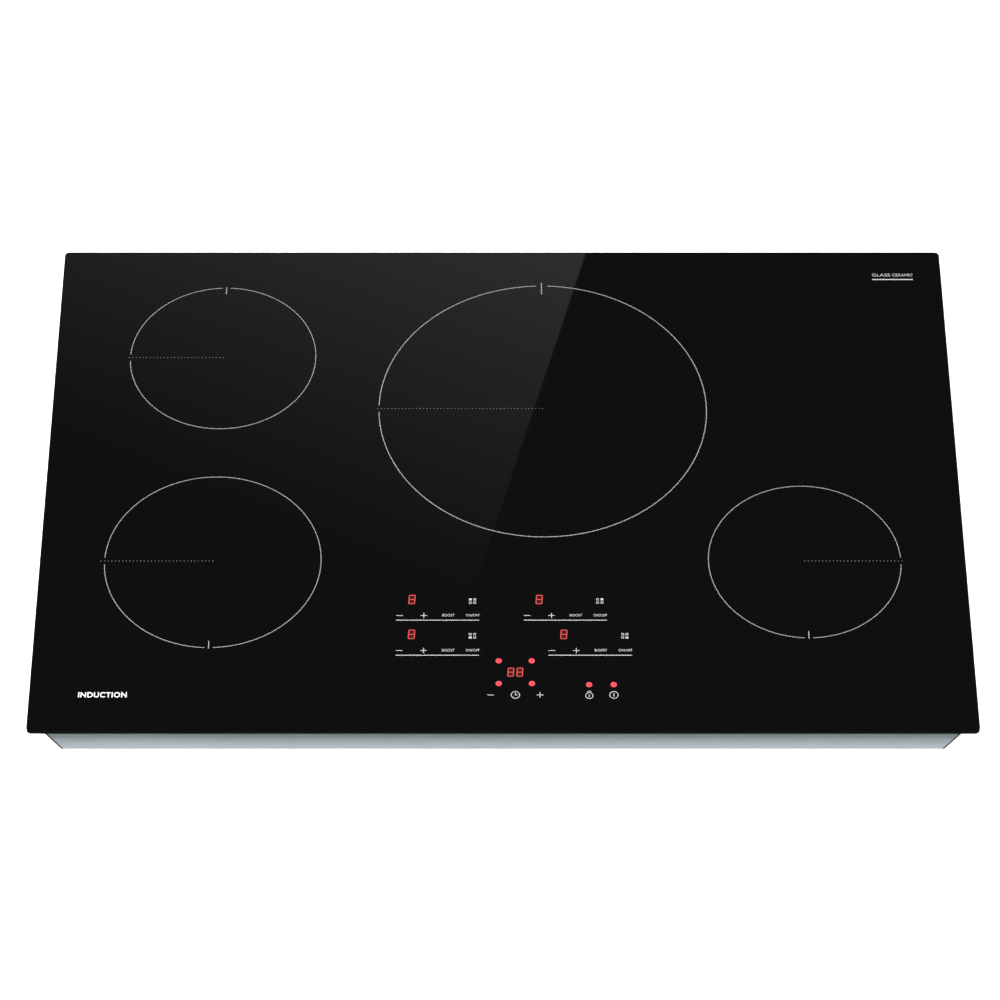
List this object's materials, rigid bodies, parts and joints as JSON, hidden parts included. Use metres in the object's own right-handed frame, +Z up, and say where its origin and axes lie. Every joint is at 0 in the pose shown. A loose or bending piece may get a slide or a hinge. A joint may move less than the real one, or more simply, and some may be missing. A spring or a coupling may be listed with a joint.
{
  "type": "induction cooktop",
  "caption": "Built-in induction cooktop: bevelled black glass plate with printed round cooking zones and a touch panel, on a shallow sheet-steel base pan.",
  "frame": {"origin": "middle of the footprint, on the plane that the ribs under the base pan stand on", "axes": "+X to the user's right along the wide side, +Y to the back, +Z up out of the glass"},
  "size_m": [0.77, 0.52, 0.06],
  "materials": {
    "glass": "polished opaque black glass-ceramic with a ground edge",
    "print": "fired light grey enamel print",
    "foam": "closed-cell black foam",
    "silicone": "translucent silicone",
    "galvanised": "galvanised sheet",
    "pan_steel": "galvanised sheet, plain and satin",
    "zinc": "zinc-plated",
    "black_plastic": "moulded, flame-retardant",
    "white_plastic": "moulded",
    "grey_plastic": "moulded, heat-resistant",
    "light_plastic": "moulded",
    "rubber": "moulded, matt",
    "foil": "blank foil label",
    "brass": "plain",
    "mica": "pressed mica sheet",
    "ceramic": "glazed ceramic",
    "spring_steel": "bright drawn",
    "lead_sleeve": "silicone sleeve",
    "circuit_board": "solder-masked laminate",
    "aluminium": "mill finish",
    "copper": "enamelled copper strand",
    "ferrite": "sintered, matt",
    "capacitor_case": "moulded",
    "display": "clear red",
    "ribbon": "flat cable"
  },
  "bodies": {
    "hob": {"glass_top": "glass", "zone_markings": "print", "control_markings": "print", "rim_seal": "foam", "glass_bond": "silicone", "rail_front": "galvanised", "rail_rear": "galvanised", "rail_left": "galvanised", "rail_right": "galvanised", "base_pan": "pan_steel", "pan_screws": "zinc", "terminal_box": "black_plastic", "terminal_block": "white_plastic", "terminal_cover": "black_plastic", "cover_screws": "zinc", "cable_grommet": "rubber", "rating_plate": "foil", "earth_screw": "brass", "coil_former_rear_left": "grey_plastic", "coil_former_front_left": "grey_plastic", "coil_former_centre": "grey_plastic", "coil_former_front_right": "grey_plastic", "coil_winding_rear_left": "copper", "coil_winding_front_left": "copper", "coil_winding_centre": "copper", "coil_winding_front_right": "copper", "ferrites_rear_left": "ferrite", "ferrites_front_left": "ferrite", "ferrites_centre": "ferrite", "ferrites_front_right": "ferrite", "mica_discs": "mica", "coil_sensors": "ceramic", "coil_springs": "spring_steel", "coil_leads": "lead_sleeve", "lead_terminals": "brass", "plate_posts": "white_plastic", "plate_screws": "zinc", "power_boards": "circuit_board", "heat_sinks": "aluminium", "coil_plate_left": "aluminium", "coil_plate_right": "aluminium", "blower_housing_left": "black_plastic", "blower_housing_right": "black_plastic", "blower_bushes": "brass", "blower_stators": "copper", "power_transistors": "black_plastic", "film_capacitors": "capacitor_case", "filter_board": "circuit_board", "chokes": "copper", "control_board": "circuit_board", "control_carrier": "white_plastic", "touch_pads": "foam", "led_displays": "display", "control_ribbon": "ribbon", "board_posts": "white_plastic"},
    "impeller_left": {"blower_impeller_left": "light_plastic", "blower_shaft_left": "spring_steel"},
    "impeller_right": {"blower_impeller_right": "light_plastic", "blower_shaft_right": "spring_steel"}
  },
  "joints": [
    {"name": "blower_left_spin", "type": "hinge", "parent": "hob", "child": "impeller_left", "pos_m": [-0.085, 0.042, 0.0165], "axis": [0, 0, 1], "continuous": true},
    {"name": "blower_right_spin", "type": "hinge", "parent": "hob", "child": "impeller_right", "pos_m": [0.06, 0.042, 0.0165], "axis": [0, 0, 1], "continuous": true}
  ]
}
